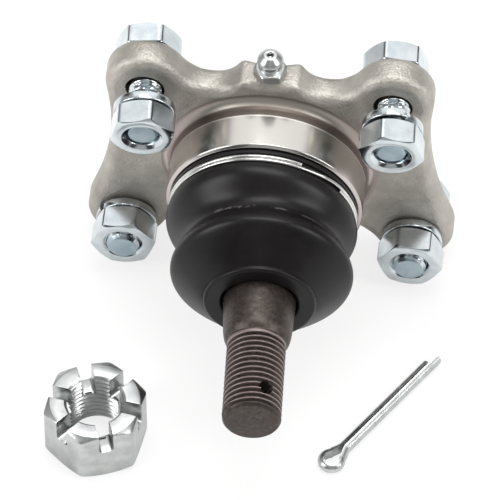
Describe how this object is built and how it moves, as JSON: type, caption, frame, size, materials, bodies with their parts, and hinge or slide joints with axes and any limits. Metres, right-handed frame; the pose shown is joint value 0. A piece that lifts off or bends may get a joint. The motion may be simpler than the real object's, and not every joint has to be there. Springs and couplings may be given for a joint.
{
  "type": "suspension ball joint",
  "caption": "Suspension ball joint with a forged bolt-on flange, folded rubber dust boot and tapered threaded stud, with its castle nut and cotter pin lying beside it.",
  "frame": {"origin": "centre of the ball", "axes": "-Y along the turned collar towards the stud's tip, from which the stud leans 2.6 degrees to +X as it lies, +Z towards the grease fitting, X across the flange; the far lugs and the loose nut and pin stand on one plane 33.1 mm below the origin"},
  "size_m": [0.0919, 0.0938, 0.0697],
  "materials": {
    "forged_steel": "shot-blasted forging, with a turned bright collar",
    "plate_steel": "pressed plain steel",
    "spring_steel": "oiled spring steel",
    "bearing_plastic": "smooth natural bearing plastic",
    "phosphated_steel": "dark brown-grey phosphate on turned steel",
    "boot_rubber": "satin black moulded rubber",
    "bright_wire": "bright drawn spring wire",
    "zinc_bolts": "clear blue-white zinc plating",
    "zinc_bright": "bright zinc plating"
  },
  "bodies": {
    "housing": {"housing_forging": "forged_steel", "cover_plate": "plate_steel", "disc_spring": "spring_steel", "boot_wire_ring": "bright_wire", "grease_fitting_body": "zinc_bright", "grease_check_spring": "spring_steel", "near_left_bolt": "zinc_bolts", "near_left_washer": "zinc_bolts", "near_left_nut": "zinc_bolts", "near_right_bolt": "zinc_bolts", "near_right_washer": "zinc_bolts", "near_right_nut": "zinc_bolts", "far_left_bolt": "zinc_bolts", "far_left_washer": "zinc_bolts", "far_left_nut": "zinc_bolts", "far_right_bolt": "zinc_bolts", "far_right_washer": "zinc_bolts", "far_right_nut": "zinc_bolts"},
    "bearing": {"rear_ball_seat": "bearing_plastic", "front_ball_seat": "bearing_plastic", "dust_boot": "boot_rubber"},
    "boot_end": {"boot_end_ring": "plate_steel"},
    "stud": {"ball_stud": "phosphated_steel"},
    "check_ball": {"grease_check_ball": "bright_wire"},
    "loose_nut": {"castle_nut": "zinc_bright"},
    "loose_pin": {"cotter_pin": "zinc_bright"}
  },
  "joints": [
    {"name": "bearing_turn", "type": "hinge", "parent": "housing", "child": "bearing", "pos_m": [0, 0, 0], "axis": [0, -1, 0], "continuous": true},
    {"name": "stud_tilt", "type": "hinge", "parent": "bearing", "child": "boot_end", "pos_m": [0, 0, 0], "axis": [0, 0, 1], "range_deg": [-24.6, 19.4], "deforming": ["dust_boot"]},
    {"name": "stud_spin", "type": "hinge", "parent": "boot_end", "child": "stud", "pos_m": [0, 0, 0], "axis": [0.0454, -0.999, 0], "continuous": true},
    {"name": "check_ball_push", "type": "slide", "parent": "housing", "child": "check_ball", "axis": [0, 0, -1], "range_m": [0, 0.0008], "stiffness_N_per_m": 40, "springref_m": -0.001, "deforming": ["grease_check_spring"]},
    {"name": "castle_nut_lift", "type": "slide", "parent": "housing", "child": "loose_nut", "axis": [0, 0, 1], "range_m": [0, 0.05]},
    {"name": "cotter_pin_lift", "type": "slide", "parent": "housing", "child": "loose_pin", "axis": [0, 0, 1], "range_m": [0, 0.05]}
  ]
}
